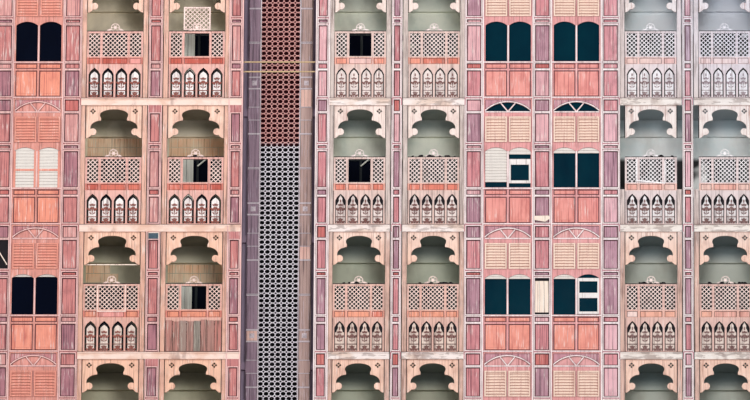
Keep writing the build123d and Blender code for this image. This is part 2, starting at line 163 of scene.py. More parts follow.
def add_world():
    """A bluish sky that lights the building and is seen as pale grey."""
    world = bpy.data.worlds.new("studio")
    bpy.context.scene.world = world
    world.use_nodes = True
    tree = world.node_tree
    light = tree.nodes["Background"]
    plug(light.inputs["Color"], SKY_LIGHT)
    plug(light.inputs["Strength"], 0.4)
    seen = add_node(tree, "Background", SKY_SEEN, 1.0)
    path = add_node(tree, "LightPath")
    shown = path.outputs["Is Camera Ray"]
    for kind in ("Is Glossy Ray", "Is Transmission Ray"):
        shown = add_node(tree, "Math", shown, path.outputs[kind], operation="MAXIMUM").outputs[0]
    mix = add_node(tree, "MixShader", shown, light.outputs[0], seen.outputs[0])
    plug(tree.nodes["World Output"].inputs["Surface"], mix.outputs[0])


def add_floor():
    """A pale floor that only shows from above."""
    mesh = bpy.data.meshes.new("floor")
    corners = [(-1, -1), (1, -1), (1, 1), (-1, 1)]
    mesh.from_pydata([(FLOOR_REACH * x, FLOOR_REACH * y, 0) for x, y in corners], [], [(0, 1, 2, 3)])
    floor = bpy.data.objects.new("floor", mesh)
    bpy.context.scene.collection.objects.link(floor)
    paint = bpy.data.materials.new("floor")
    paint.use_nodes = True
    tree = paint.node_tree
    pale = tree.nodes["Principled BSDF"]
    plug(pale.inputs["Base Color"], FLOOR_COLOUR)
    plug(pale.inputs["Roughness"], 0.9)
    back = add_node(tree, "NewGeometry").outputs["Backfacing"]
    mix = add_node(tree, "MixShader", back, pale.outputs[0], add_node(tree, "BsdfTransparent").outputs[0])
    plug(tree.nodes["Material Output"].inputs["Surface"], mix.outputs[0])
    mesh.materials.append(paint)


add_camera()
add_light("key", place=(-16, -26, 30), target=(0, 0, 6), power=4900, size=10, colour=(1.0, 0.99, 0.96))
add_light("fill", place=(6, -40, 9), target=(0, 0, 7), power=6300, size=14, colour=(0.97, 0.98, 1.0))
add_light("back", place=(0, 30, 24), target=(0, 0, 6), power=5000, size=18)
add_world()
add_floor()

# Materials: the roughness of plaster, the haze's colour, and from where to where paint and painted shade
# change
MATT = 0.95
RIGHT_END = (4.2, 6.2)
HAZE_ACROSS = (4.6, 8.8)
HAZE_UP = (8.8, 11.4)
HAZE = 0xdadef2
LOW_STOREYS = (5.6, 7.2)
SHAFT_STEP = (8.78, 8.96)
FRIEZE_STRIP = (0.868, 1.048)
OUTER_SIDES = (9.3, 9.38)
OUTER_BACK = (0.6, 0.65)
OUTER_TOP = (12.9, 12.97)
MIDDLE_DEPTH = (-0.2, 0.0)
LOW_SHADE_TOP = (1.98, 2.14)
LOW_SHADE_DEEPENS = (0.9, 1.3)
GLOOM_FOOT = (2.5, 2.9)
GLOOM_FADES = (9.4, 10.2)


def linear(value):
    """One sRGB channel from 0 to 255 as scene-linear."""
    value /= 255
    return value / 12.92 if value <= 0.04045 else ((value + 0.055) / 1.055) ** 2.4


def rgb(code):
    """A colour written as sRGB in hexadecimal."""
    return (*(linear(code >> shift & 255) for shift in (16, 8, 0)), 1)


class Paint:
    """A procedural material that is put together from few kinds of node."""

    def __init__(self, name, roughness=0.85):
        self.material = bpy.data.materials.new(name)
        self.material.use_nodes = True
        self.tree = self.material.node_tree
        self.shader = self.tree.nodes["Principled BSDF"]
        plug(self.shader.inputs["Roughness"], roughness)
        plug(self.shader.inputs["Specular IOR Level"], 0.25)
        self.position = self.add("NewGeometry").outputs["Position"]
        self.x, self.y, self.z = self.add("SeparateXYZ", self.position).outputs

    def add(self, kind, *values, **settings):
        """A new node in this material."""
        return add_node(self.tree, kind, *values, **settings)

    def math(self, operation, *values):
        """One arithmetic step."""
        return self.add("Math", *values, operation=operation).outputs[0]

    def product(self, first, *others):
        """All the values multiplied."""
        for value in others:
            first = self.math("MULTIPLY", first, value)
        return first

    def stretch(self, scale, shift=(0, 0, 0)):
        """The position, scaled along each axis and shifted."""
        return self.add("Mapping", self.position, shift, (0, 0, 0), scale).outputs[0]

    def noise(self, scale, detail=4.0, shift=(0, 0, 0)):
        """Noise whose grain has its own size along each axis."""
        return self.add("TexNoise", self.stretch(scale, shift), 0.0, 1.0, detail, 0.55).outputs["Fac"]

    def cell(self, scale, shift):
        """One random value for each cell of a grid."""
        snap = self.add("VectorMath", self.stretch(scale, shift), operation="FLOOR")
        return self.add("TexWhiteNoise", snap.outputs[0], noise_dimensions="3D").outputs["Value"]

    def band(self, value, low, high):
        """0 below low, 1 above high and smooth between them."""
        node = self.add("MapRange", value, low, high, 0.0, 1.0, interpolation_type="SMOOTHSTEP")
        return node.outputs[0]

    def fade(self, value, low, high):
        """1 below low, 0 above high and smooth between them."""
        return self.math("SUBTRACT", 1.0, self.band(value, low, high))

    def between(self, value, low, high, soft):
        """1 from low to high and 0 outside them, with soft edges inside."""
        return self.math("SUBTRACT", self.band(value, low, low + soft), self.band(value, high - soft, high))

    def spots(self, scale, low, high, detail=6, shift=(0, 0, 0)):
        """1 where noise is above high and 0 where it is below low."""
        return self.band(self.noise(scale, detail, shift), low, high)

    def mix(self, share, first, second):
        """A blend of two colours, with a share of the second."""
        node = self.add("Mix", share, data_type="RGBA")
        for socket, value in zip(node.inputs[6:8], (first, second)):
            plug(socket, rgb(value) if isinstance(value, int) else value)
        return node.outputs[2]

    def tint(self, colour, other, *shares):
        """A colour that turns into another one by the product of the shares."""
        return self.mix(self.product(*shares), colour, other)

    def mottled(self, first, second, scale, detail=5):
        """Two shades of a colour, mixed by noise."""
        return self.mix(self.noise(scale, detail), first, second)

    def storey_height(self):
        """The height above the floor of the storey."""
        shifted = self.math("SUBTRACT", self.z, SLAB)
        return self.math("FLOORED_MODULO", shifted, STOREY)

    def behind(self, depth, soft=0.004):
        """1 where the surface is deeper than a depth behind the front of the fascias."""
        return self.band(self.y, FRONT + depth, FRONT + depth + soft)

    def right_of_shaft(self):
        """0 left of the shaft and 1 right of it."""
        return self.band(self.x, SHAFT_LEFT, SHAFT_RIGHT)

    def beside_openwork(self):
        """0 behind the openwork and the piers, and 1 beyond them."""
        away = self.math("ABSOLUTE", self.math("SUBTRACT", self.x, SHAFT_MIDDLE))
        reach = CLAUSTRA / 2 + SHAFT_STRIP
        return self.band(away, reach, reach + 0.01)

    def zones(self, left, middle, right):
        """One colour left of the shaft, one beside it and one towards the right end, where haze sets in."""
        colour = self.mix(self.right_of_shaft(), left, middle)
        colour = self.mix(self.band(self.x, *RIGHT_END), colour, right)
        return self.tint(colour, HAZE, self.band(self.x, *HAZE_ACROSS), self.band(self.z, *HAZE_UP), 0.5)

    def lower(self, colour, other, share=0.65):
        """The two lower storeys, tinted."""
        return self.tint(colour, other, self.fade(self.z, *LOW_STOREYS), share)

    def wear(self, colour, pale, dark, amount=0.5, nook_shade=0.9):
        """Streaks of worn, pale paint and rain-washed grime that runs down, and painted shade that darkens
        nooks by ambient occlusion.
        """
        streaks = self.spots((46, 46, 2.6), 0.52, 0.66, 6, (3, 1, 5))
        patches = self.spots((2.6, 2.6, 1.9), 0.42, 0.62, 4, (9, 4, 2))
        colour = self.tint(colour, pale, streaks, patches, amount)
        runs = self.spots((30, 30, 0.9), 0.5, 0.68, 5, (1, 8, 3))
        colour = self.tint(colour, dark, runs, amount)
        # Painted shade: ambient occlusion darkens nooks and corners
        occlusion = self.add("AmbientOcclusion", samples=6)
        plug(occlusion.inputs["Distance"], 0.06)
        return self.tint(colour, dark, self.fade(occlusion.outputs["AO"], 0.35, 0.85), nook_shade)

    def finish(self, colour, bump=0.35, grain=(60, 60, 5)):
        """Sets the colour and the grain, which is that of upright wood unless another is given."""
        node = self.add("Bump", bump, 0.004)
        plug(node.inputs["Height"], self.noise(grain, 6))
        plug(self.shader.inputs["Normal"], node.outputs[0])
        plug(self.shader.inputs["Base Color"], colour)
        return self.material

    def finish_plaster(self, colour):
        """Sets the colour and the grain of plaster."""
        return self.finish(colour, 0.5, (22, 22, 22))


def plain_paint(name, first, second, pale, dark, amount=0.5, scale=(4, 4, 4), bump=0.35):
    """Two tones of one paint with the common wear and painted shade in nooks."""
    paint = Paint(name)
    colour = paint.mottled(first, second, scale)
    return paint.finish(paint.wear(colour, pale, dark, amount), bump)


def zoned_paint(name, left, middle, right, dark, amount=0.5, low=None, nook_shade=0.9):
    """Worn paint in three zones along the facade with painted shade in nooks, and a tint for the lower
    storeys if one is given.
    """
    paint = Paint(name)
    colour = paint.zones(left, middle, right)
    if low:
        colour = paint.lower(colour, low)
    colour = paint.tint(colour, dark, paint.spots((5, 5, 3), 0.42, 0.78, 5), 0.35)
    return paint.finish(paint.wear(colour, 0xfaeee6, dark, amount, nook_shade))


def frame_paint(name, depth, left, middle, right, dark, low=None, frieze=None, hollow_shade=0x5c343a):
    """Zoned paint with painted shade in recesses beyond a depth, with a frieze if its colours are given."""
    paint = Paint(name)
    colour = paint.zones(left, middle, right)
    if low:
        colour = paint.lower(colour, low)
    if frieze:
        strip = paint.between(paint.storey_height(), *FRIEZE_STRIP, 0.006)
        colour = paint.tint(colour, paint.zones(*frieze), strip, 0.75)
    colour = paint.tint(colour, dark, paint.spots((5, 5, 5), 0.4, 0.75, 5), 0.2)
    colour = paint.wear(colour, 0xfaeae4, dark)
    # Painted shade: surfaces deeper than the depth take the dark colour
    return paint.finish(paint.tint(colour, hollow_shade, paint.behind(depth)))


def band_plaster():
    """Cream and pink fascias with rain stains, torn patches on the right, and a painted shadow line along the
    top.
    """
    paint = Paint("band_plaster", MATT)
    colour = paint.zones(0xfaded0, 0xf6e8e2, 0xf4eae2)
    pink = paint.zones(0xecc4b0, 0xe6cec0, 0xe2d4ca)
    colour = paint.tint(colour, pink, paint.spots((2.2, 2.2, 5), 0.44, 0.66))
    colour = paint.tint(colour, 0x927068, paint.spots((3.2, 3.2, 1.4), 0.55, 0.7, 6, (4, 4, 4)), 0.55)
    torn = paint.spots((2.6, 2.6, 11), 0.52, 0.56, 5, (8, 2, 1))
    colour = paint.tint(colour, 0x806862, torn, paint.right_of_shaft(), 0.45)
    # Painted shadow: a dark line along the top of each fascia
    top = paint.band(paint.storey_height(), STOREY - 0.02, STOREY - 0.012)
    return paint.finish_plaster(paint.tint(colour, 0x60423e, top, 0.8))


def wall_plaster():
    """Stained plaster. The loggias have painted shade low on their walls and at their tops, the shaft is
    mauve-grey with painted shade behind the openwork, and the outside is one cream colour."""
    paint = Paint("wall_plaster", MATT)
    height = paint.storey_height()
    mottle = paint.spots((1.4, 1.4, 1.4), 0.4, 0.7)
    damp = paint.product(paint.spots((0.9, 0.9, 0.5), 0.5, 0.68, 6, (4, 4, 4)), 0.3)
    side = paint.band(paint.math("ABSOLUTE", paint.x), *OUTER_SIDES)
    outside = paint.math("MAXIMUM", paint.band(paint.y, *OUTER_BACK), side)
    indoors = paint.math("SUBTRACT", 1.0, outside)

    colour = paint.zones(0xf6e8cc, 0xf0f0de, 0xfcfcf8)
    colour = paint.mix(mottle, colour, paint.zones(0xcec2a4, 0xd4daca, 0xf0f8f6))
    colour = paint.lower(colour, 0xb0b496, 0.55)
    colour = paint.mix(damp, colour, 0x9c8a72)

    # Painted shade low on the loggias' rear walls, where the balustrades shade them: up to about 2 m, deeper
    # from 0.9 m up, spared in patches
    spared = paint.math("SUBTRACT", 1.0, paint.spots((0.8, 0.8, 0.8), 0.6, 0.68, 3, (7, 2, 6)))
    low_shade = paint.product(paint.fade(height, *LOW_SHADE_TOP), paint.band(height, 0.01, 0.03), spared)
    strength = paint.math("MULTIPLY_ADD", paint.band(height, *LOW_SHADE_DEEPENS), 0.36, 0.61)
    colour = paint.tint(colour, 0x141014, low_shade, strength, indoors)
    # Painted shade under the loggias' ceilings, from 2.5 m above the floor, weaker in the top storey
    gloom = paint.zones(0x22241e, 0x3c545c, 0x50707c)
    strength = paint.math("MULTIPLY_ADD", paint.band(paint.z, *GLOOM_FADES), -0.35, 0.7)
    colour = paint.tint(colour, gloom, paint.band(height, *GLOOM_FOOT), strength, indoors)

    shaft = paint.between(paint.x, SHAFT_LEFT - 0.2, SHAFT_RIGHT + 0.2, 0.1)
    colour = paint.tint(colour, 0x968292, shaft, indoors)
    # Painted shade on the wall behind the openwork, black below and maroon above
    across = paint.math("SUBTRACT", 1.0, paint.beside_openwork())
    dark = paint.mix(paint.band(paint.z, *SHAFT_STEP), 0x08060a, 0x340810)
    colour = paint.tint(colour, dark, across, paint.behind(SHAFT_RECESS + 0.03, 0.01), indoors)

    outer = paint.mix(damp, paint.mix(mottle, 0xe2dac8, 0xc8c2b0), 0x9c8a72)
    outside = paint.math("MAXIMUM", outside, paint.band(paint.z, *OUTER_TOP))
    return paint.finish_plaster(paint.mix(outside, colour, outer))


def screen_plaster():
    """Openwork with painted light: salmon in the upper half of the shaft and lilac-white below."""
    paint = Paint("screen_plaster", MATT)
    low = paint.mottled(0xfffcff, 0xfaf2fa, (3, 3, 2))
    high = paint.mottled(0xfac8c0, 0xeca4a0, (3, 3, 2))
    # Painted light: the upper half is tinted salmon and the lower half lilac-white by how light falls there
    colour = paint.mix(paint.band(paint.z, *SHAFT_STEP), low, high)
    return paint.finish_plaster(paint.wear(colour, 0xfaf0f0, 0x684c5c, 0.2, 0.1))


def shaft_painted_shade():
    """Painted shade on the wall behind the openwork, maroon above and black below, and the wall's mauve-grey
    beside it.
    """
    paint = Paint("shaft_painted_shade", MATT)
    low = paint.mottled(0x040306, 0x0e0c12, (3, 3, 3), 4)
    high = paint.mottled(0x28040a, 0x3a0a12, (3, 3, 3), 4)
    beside = paint.mottled(0xb09eb0, 0x786878, (9, 9, 2))
    colour = paint.mix(paint.band(paint.z, *SHAFT_STEP), low, high)
    return paint.finish_plaster(paint.mix(paint.beside_openwork(), colour, beside))


def pier_plaster():
    """Mauve-grey piers, browner on the right of the shaft, with painted shade in their grooves."""
    paint = Paint("pier_plaster", MATT)
    left = paint.mottled(0xb296a2, 0x806a78, (9, 9, 0.7), 6)
    right = paint.mottled(0xd4b6ac, 0x9e807a, (9, 9, 0.7), 6)
    colour = paint.mix(paint.band(paint.x, SHAFT_MIDDLE - 0.1, SHAFT_MIDDLE + 0.1), left, right)
    colour = paint.wear(colour, 0xd6cad4, 0x302832, 0.6)
    # Painted shade on the surfaces set back behind the piers' boards, in the grooves
    return paint.finish(paint.tint(colour, 0x221c24, paint.behind(SHAFT_RECESS + 0.008)), 0.5, (40, 40, 6))


def louvre_paint():
    """Salmon leaves in the left window bay and cream ones in the two right bays."""
    paint = Paint("louvre_paint")
    salmon = paint.mottled(0xeea690, 0xe48e80, (6, 6, 9))
    cream = paint.mottled(0xfae4d0, 0xf2cebc, (5, 5, 9))
    colour = paint.mix(paint.right_of_shaft(), salmon, cream)
    return paint.finish(paint.wear(colour, 0xfaeade, 0xb87468))


def dark_glass():
    """Glass with an unlit room behind it, navy, and teal in the windows right of the shaft."""
    paint = Paint("dark_glass", 0.12)
    plug(paint.shader.inputs["Specular IOR Level"], 0.02)
    navy = paint.mottled(0x00020e, 0x02081a, (1.2, 1.2, 0.8), 4)
    teal = paint.mottled(0x001426, 0x02323e, (1.2, 1.2, 0.8), 4)
    colour = paint.tint(navy, teal, paint.fade(paint.y, *MIDDLE_DEPTH), paint.right_of_shaft())
    plug(paint.shader.inputs["Base Color"], colour)
    smear = paint.math("MULTIPLY_ADD", paint.spots((7, 7, 3), 0.3, 0.7, 5), 0.2, 0.35)
    plug(paint.shader.inputs["Roughness"], smear)
    return paint.material


ARCH = zoned_paint("arch_paint", 0xf8ceb8, 0xf6e2d8, 0xf4e8e2, 0xa06656, 0.55, 0xf8c2a4)
BOARD = zoned_paint("board_paint", 0xfcf0ec, 0xeeded8, 0xf2ecec, 0x644442, 0.6, 0xe8ceba)
LATTICE = zoned_paint("lattice_paint", 0xffe2d8, 0xfeece6, 0xfffafa, 0x825e5a, 0.25, 0xfeded0, 0.2)
LOUVRE = louvre_paint()
PIER = pier_plaster()
SCREEN = screen_plaster()
GLASS = dark_glass()
CONCRETE = wall_plaster()
# The paint of each CAD node, by its name without the storey; all others get CONCRETE
COATS = {
    "panel_strips": frame_paint("strip_paint", 0.024, 0xc88280, 0xd09298, 0xdca4ac, 0x58303a),
    "window_frames": frame_paint("window_paint", 0.025, 0xe29a8c, 0xe6a2a0, 0xeaaeac, 0x703c3c),
    "balustrade_frames": frame_paint(
        "balustrade_paint", 0.062, 0xecb6aa, 0xe6c8be, 0xe8d6d4, 0x603c3a,
        low=0xe4b09e, frieze=[0xd67464, 0xec9e8a, 0xf2baa8], hollow_shade=0x2c161c,
    ),
    "baluster_boards": BOARD,
    "lattice_panels": LATTICE,
    "arch_panels": ARCH,
    "posts": zoned_paint("post_paint", 0xeab8a4, 0xd4c2ba, 0xe0cec8, 0x604644, 0.6, 0xe0ac96),
    "shaft_screen": SCREEN,
    "shaft_piers": PIER,
    "shaft_back_wall": shaft_painted_shade(),
    "shaft_tie_bars": plain_paint("bar_metal", 0xe2c496, 0xbea07e, 0xf4e0be, 0x6e5440, 0.4),
    "fascias": band_plaster(),
    "louvred_leaves": LOUVRE,
    "window_glass": GLASS,
    "door_glass": GLASS,
    "door_frames": plain_paint("door_metal", 0x34383a, 0x22262a, 0x606260, 0x121214, 0.4),
}


def dress(name, material):
    """Gives a CAD node its material."""
    mesh = nodes[name].data
    if not mesh.materials:
        mesh.materials.append(material)
    for index in range(len(mesh.materials)):
        mesh.materials[index] = material


for name in nodes:
    dress(name, COATS.get(name.split("_storey_")[0], CONCRETE))

# Dressing: sizes shared with the CAD model
INFILL_FRONT = 0.065
BALUSTRADE_HEIGHT = 1.71
CAP_RAIL = 0.047
LATTICE_FOOT = 1.075
SIDE_LATTICE = 0.197
BORDER = 0.058
LATTICE_STILE = 0.06
BALUSTERS = 4
BALUSTER_STILE = 0.047
PLATE_GAP = 0.022
BALUSTER_FOOT = 0.036
BALUSTER_SPRING = 0.614
BALUSTER_TOP = 0.785
SILL = 0.935
WINDOW_SPRING = 1.85
LEAF_FOOT = 2.08
LEAF_TOP = 2.725
ARCH_PANEL = 0.825
CLAUSTRA_THICKNESS = 0.06
STRIP_FRONT = 0.015
FACADE_TOP = STOREYS * STOREY
MISSING_LATTICES = {1: [1], 2: [1, 2], 3: [1, 2]}


def ring(x, z, half_width, half_height, turn, sides):
    """Points around an ellipse that is turned about its middle."""
    points = []
    for n in range(sides):
        angle = 2 * math.pi * n / sides
        across, up = half_width * math.cos(angle), half_height * math.sin(angle)
        place_x = x + across * math.cos(turn) - up * math.sin(turn)
        points.append((place_x, z + across * math.sin(turn) + up * math.cos(turn)))
    return points


class Heap:
    """Solids gathered into one mesh. Depths are measured back from the front of the fascias."""

    def __init__(self):
        self.points = []
        self.faces = []

    def prism(self, outline, front, back):
        """A solid from an outline of (x, z) points, anticlockwise as seen from the front."""
        start, count = len(self.points), len(outline)
        self.points += [(x, FRONT + front, z) for x, z in outline]
        self.points += [(x, FRONT + back, z) for x, z in outline]
        self.faces.append([start + n for n in range(count)])
        self.faces.append([start + count + n for n in reversed(range(count))])
        for n in range(count):
            after = (n + 1) % count
            self.faces.append([start + n, start + count + n, start + count + after, start + after])

    def block(self, left, right, foot, top, front, back):
        """A box."""
        self.prism([(left, foot), (right, foot), (right, top), (left, top)], front, back)

    def about(self, x, half, foot, top, front, back):
        """A box that reaches as far to the left of x as to the right."""
        self.block(x - half, x + half, foot, top, front, back)

    def bar(self, start, end, width, front, back):
        """A straight bar between two (x, z) points."""
        along = Vector(end) - Vector(start)
        side = Vector((-along.y, along.x)).normalized() * width / 2
        corners = [Vector(start) - side, Vector(end) - side, Vector(end) + side, Vector(start) + side]
        self.prism([tuple(corner) for corner in corners], front, back)

    def oval(self, x, z, half_width, half_height, turn, front, back, sides=12):
        """An elliptical boss."""
        self.prism(ring(x, z, half_width, half_height, turn, sides), front, back)

    def build(self, name, material, slot, replaces=()):
        """Makes the piece, which rides with the building."""
        mesh = bpy.data.meshes.new(name)
        mesh.from_pydata(self.points, [], self.faces)
        mesh.validate()
        mesh.materials.append(material)
        piece = bpy.data.objects.new(name, mesh)
        bpy.context.scene.collection.objects.link(piece)
        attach(piece, "root")
        if replaces:
            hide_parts(*replaces)


def add_frame(heap, left, right, foot, top, width, front, back):
    """Four flat beads around a rectangle, outside it."""
    heap.block(left - width, right + width, foot - width, foot, front, back)
    heap.block(left - width, right + width, top, top + width, front, back)
    heap.block(left - width, left, foot, top, front, back)
    heap.block(right, right + width, foot, top, front, back)


def add_planks(heap, left, right, foot, top, front, back, plank=0.1):
    """Upright planks side by side, each set a little deeper or shallower."""
    count = max(2, round((right - left) / plank))
    step = (right - left) / count
    for n in range(count):
        start = left + n * step
        depth = front + random.uniform(0, 0.003)
        heap.block(start + 0.002, start + step - 0.002, foot, top, depth, back)


def inset(left, right, foot, top, gap):
    """A rectangle that is smaller by a gap on each side."""
    return left + gap, right - gap, foot + gap, top - gap


# Laths of the lattices
LATH_PITCH = 0.112
LATH_WIDTH = 0.0185
LATH_DEPTH = 0.01
SHORTEST_LATH = 0.05


def lattice_spans(x, bay):
    """The left and right edges of a bay's three lattice panels."""
    outer = bay / 2 - BORDER
    side = SIDE_LATTICE * bay
    inner = outer - side - LATTICE_STILE
    return [(x - outer, x - outer + side), (x - inner, x + inner), (x + outer - side, x + outer)]


def add_laths(heap, left, right, foot, top):
    """Two layers of laths at 45 degrees, cut to the panel."""
    width, height = right - left, top - foot
    count = int((width + height) / LATH_PITCH) + 1
    for layer, rising in enumerate((True, False)):
        front = INFILL_FRONT + layer * LATH_DEPTH
        for n in range(count):
            offset = (n + 0.5) * (width + height) / count
            ends = [
                (max(0.0, offset - height), min(height, offset)),
                (min(width, offset), max(0.0, offset - width)),
            ]
            if rising:
                ends = [(width - along, up) for along, up in ends]
            start, end = [(left + along, foot + up) for along, up in ends]
            if math.dist(start, end) > SHORTEST_LATH:
                heap.bar(start, end, LATH_WIDTH, front, front + LATH_DEPTH)


for storey, base in enumerate(FLOORS):
    laths = Heap()
    for number, (x, bay) in enumerate(BAYS):
        for place, (left, right) in enumerate(lattice_spans(x, bay)):
            if place != 1 or number not in MISSING_LATTICES.get(storey, []):
                add_laths(laths, left, right, base + LATTICE_FOOT, base + BALUSTRADE_HEIGHT - CAP_RAIL)
    node = f"lattice_panels_storey_{storey + 1}"
    laths.build(f"lattice_laths_storey_{storey + 1}", LATTICE, "white_wood_paint", [node])


# Openwork of the shaft. Its hole and its cut are shares of half a block
BLOCK_COLUMNS = 7
BLOCK_ROWS = 26
ROUND_HOLE = 0.905
CORNER_CUT = 0.57


def add_openwork(heap, left, foot, width, height):
    """One block with a round hole, its corners cut so that four make a diamond hole."""
    half_x, half_z = width / 2, height / 2
    cut = 1 - CORNER_CUT / 2
    quarter = [(1, 0), (1, 1 - CORNER_CUT), (cut, cut), (1 - CORNER_CUT, 1)]
    rim = list(quarter)
    for turn in range(3):
        rim += [(-up, across) for across, up in rim[-len(quarter) :]]
    inner = []
    for across, up in rim:
        reach = ROUND_HOLE / math.hypot(across, up)
        inner.append((reach * across, reach * up))
    count, start = len(rim), len(heap.points)
    for depth in (SHAFT_RECESS, SHAFT_RECESS + CLAUSTRA_THICKNESS):
        for across, up in rim + inner:
            heap.points.append((left + (1 + across) * half_x, FRONT + depth, foot + (1 + up) * half_z))
    far = 2 * count
    for n in range(count):
        near, near_after = start + n, start + (n + 1) % count
        hole, hole_after = near + count, near_after + count
        heap.faces.append([near, near_after, hole_after, hole])
        heap.faces.append([near_after + far, near + far, hole + far, hole_after + far])
        heap.faces.append([hole, hole_after, hole_after + far, hole + far])
        heap.faces.append([near_after, near, near + far, near_after + far])


for storey, base in enumerate(FLOORS):
    blocks = Heap()
    width, height = CLAUSTRA / BLOCK_COLUMNS, STOREY / BLOCK_ROWS
    for column in range(BLOCK_COLUMNS):
        left = SHAFT_MIDDLE - CLAUSTRA / 2 + column * width
        for row in range(BLOCK_ROWS):
            add_openwork(blocks, left, base + row * height, width, height)
    node = f"shaft_screen_storey_{storey + 1}"
    blocks.build(f"openwork_blocks_storey_{storey + 1}", SCREEN, "screen_block", [node])


# Carved leaves and buds on the balustrades' boards, dark brown as carving and as painted shade of its
# recesses. A tier has a height, a share of the half width and a size
TIERS = [(0.07, 0.62, 0.045), (0.14, 0.4, 0.026), (0.39, 0.66, 0.052), (0.5, 0.4, 0.03)]
# Dark brown carving paint, part the carving's colour and part painted shade of its recesses
CARVING_SHADE = zoned_paint("carved_shadow", 0x9c5a4e, 0x865c56, 0x8a6864, 0x382226, 0.45)


def board_middles(x, bay):
    """The middles of a bay's boards, and half the width of the opening before each."""
    inner = bay - 2 * BORDER + BALUSTER_STILE
    middles = [x + inner * ((n + 0.5) / BALUSTERS - 0.5) for n in range(BALUSTERS)]
    return middles, (inner / BALUSTERS - BALUSTER_STILE) / 2


def add_carving(heap, x, base, half, bud):
    """Tiers of leaves on one board, and a bud in its head."""
    depths = (INFILL_FRONT - 0.012, INFILL_FRONT + 0.002)
    for z, spread, size in TIERS:
        for side in (-1, 1):
            reach = side * half * spread
            heap.oval(x + reach, base + z, size, size * 0.45, side * 0.7, *depths)
            heap.oval(x + reach * 0.42, base + z + size * 0.6, size * 0.8, size * 0.36, -side * 0.9, *depths)
        heap.oval(x, base + z, size * 0.32, size * 0.8, 0.0, *depths)
    heap.about(x, half, base + 0.2, base + 0.214, *depths)
    for side in (-1, 1):
        heap.oval(x + side * half * 0.4, base + 0.3, 0.03, 0.012, side * 0.8, *depths)
    if bud:
        heap.oval(x, base + 0.6, 0.016, 0.04, 0.0, *depths)
    heap.bar((x, base + 0.26), (x, base + 0.36), 0.01, *depths)


for storey, base in enumerate(FLOORS):
    carvings = Heap()
    for number, (x, bay) in enumerate(BAYS):
        middles, half = board_middles(x, bay)
        for middle in middles:
            add_carving(carvings, middle, base, half - PLATE_GAP, number > 1)
    carvings.build(f"board_carvings_storey_{storey + 1}", CARVING_SHADE, "white_wood_paint")


# Painted shadow borders on the boards left of the shaft, painted shade in the hollows beside the others'
# heads, and in the top storey pale pointed boards on dark plates that paint a shadow around them instead. A
# shaded hollow's points are a share of the half width and a height
# Near-black paint for painted shade, and the own colour of the rubble on the rails
SHADE_AND_RUBBLE_BLACK = plain_paint("shade_and_rubble_black", 0x100c10, 0x1e181e, 0x2c262a, 0x060406, 0.3)
EDGING = 0.025
HEAD_SHADE = [
    (0.72, 0.5), (0.98, 0.5), (0.98, 0.612), (0.62, 0.7), (0.06, 0.77), (0.06, 0.745), (0.36, 0.67),
    (0.3, 0.61), (0.5, 0.56),
]


def pointed_outline(x, base, half, foot, spring, top):
    """The outline of a pointed board, anticlockwise from its lower left corner."""
    bend = (half * 0.66, spring + (top - spring) * 0.52)
    right = [(half, foot), (half, spring), bend]
    outline = right + [(0, top)] + [(-across, up) for across, up in reversed(right)]
    return [(x + across, base + up) for across, up in outline[-1:] + outline[:-1]]


def add_shadow_border(heap, x, base, half):
    """A border of painted shadow inside the outline of a board, one quad at a time."""
    spring, top = BALUSTER_SPRING - PLATE_GAP, BALUSTER_TOP - 2 * PLATE_GAP
    outer = pointed_outline(x, base, half, BALUSTER_FOOT, spring, top)
    inner = pointed_outline(x, base, half - EDGING, BALUSTER_FOOT + EDGING, spring, top - EDGING * 2)
    for n in range(len(outer)):
        after = (n + 1) % len(outer)
        quad = [outer[n], outer[after], inner[after], inner[n]]
        heap.prism(quad, INFILL_FRONT - 0.003, INFILL_FRONT + 0.003)


def add_head_shades(heap, x, base, half):
    """Painted shade on each side of a board: a dark edge and a dark hollow."""
    for side in (-1, 1):
        edge = x + side * (half - 0.008)
        heap.block(edge - 0.011, edge + 0.008, base + BALUSTER_FOOT, base + BALUSTER_SPRING, 0.06, 0.067)
        hollow_shade = [(x + side * half * across, base + up) for across, up in HEAD_SHADE]
        heap.prism(hollow_shade[::side], 0.061, 0.066)


def add_pointed_board(dark, pale, x, base, half):
    """A pale pointed board on a dark plate that paints a shadow around it."""
    outer = pointed_outline(x, base, half - 0.002, BALUSTER_FOOT, BALUSTER_SPRING, BALUSTER_TOP)
    dark.prism(outer, 0.06, 0.0645)
    spring, top = BALUSTER_SPRING - 0.02, BALUSTER_TOP - 0.05
    pale.prism(pointed_outline(x, base, half - 0.026, BALUSTER_FOOT, spring, top), 0.056, 0.061)


board_shadow_edges, pointed_boards = Heap(), Heap()
for storey, base in enumerate(FLOORS):
    for number, (x, bay) in enumerate(BAYS):
        middles, half = board_middles(x, bay)
        for middle in middles:
            if number < 2:
                add_shadow_border(board_shadow_edges, middle, base, half - PLATE_GAP)
            elif storey == STOREYS - 1:
                add_pointed_board(board_shadow_edges, pointed_boards, middle, base, half)
            else:
                add_head_shades(board_shadow_edges, middle, base, half)
board_shadow_edges.build("board_shadow_edges", SHADE_AND_RUBBLE_BLACK, "white_wood_paint")
pointed_boards.build("pointed_boards", BOARD, "white_wood_paint")

